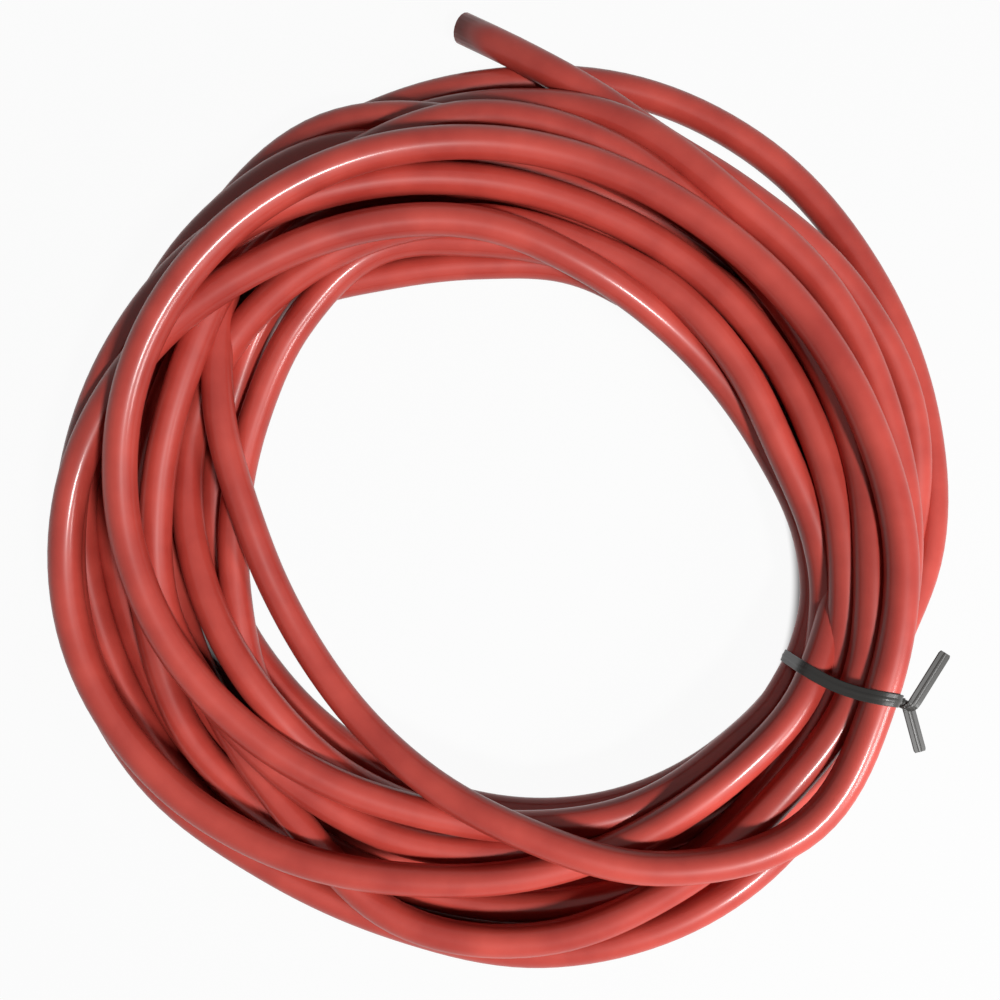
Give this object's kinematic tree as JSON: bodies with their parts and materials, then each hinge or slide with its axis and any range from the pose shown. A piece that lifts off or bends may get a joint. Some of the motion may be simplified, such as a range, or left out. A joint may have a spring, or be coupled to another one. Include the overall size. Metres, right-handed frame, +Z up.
{
  "type": "rubber gas tubing coil",
  "caption": "Brick-red rubber gas tubing with an open bore, for joining a gas tap to a burner, wound into a loose flat coil and held by a dark grey twist tie",
  "frame": {"origin": "middle of the whole part's box in plan, on the surface that the coil lies on", "axes": "+Z is up, through the coil; +Y points to the side where the free end stands out"},
  "size_m": [0.354, 0.38, 0.0524],
  "materials": {
    "rubber": "smooth semi-gloss moulded rubber",
    "tie": "satin plastic ribbon over wire"
  },
  "bodies": {
    "root": {"tubing_coil": "rubber", "tubing_free_end": "rubber", "twist_tie": "tie"}
  },
  "joints": []
}
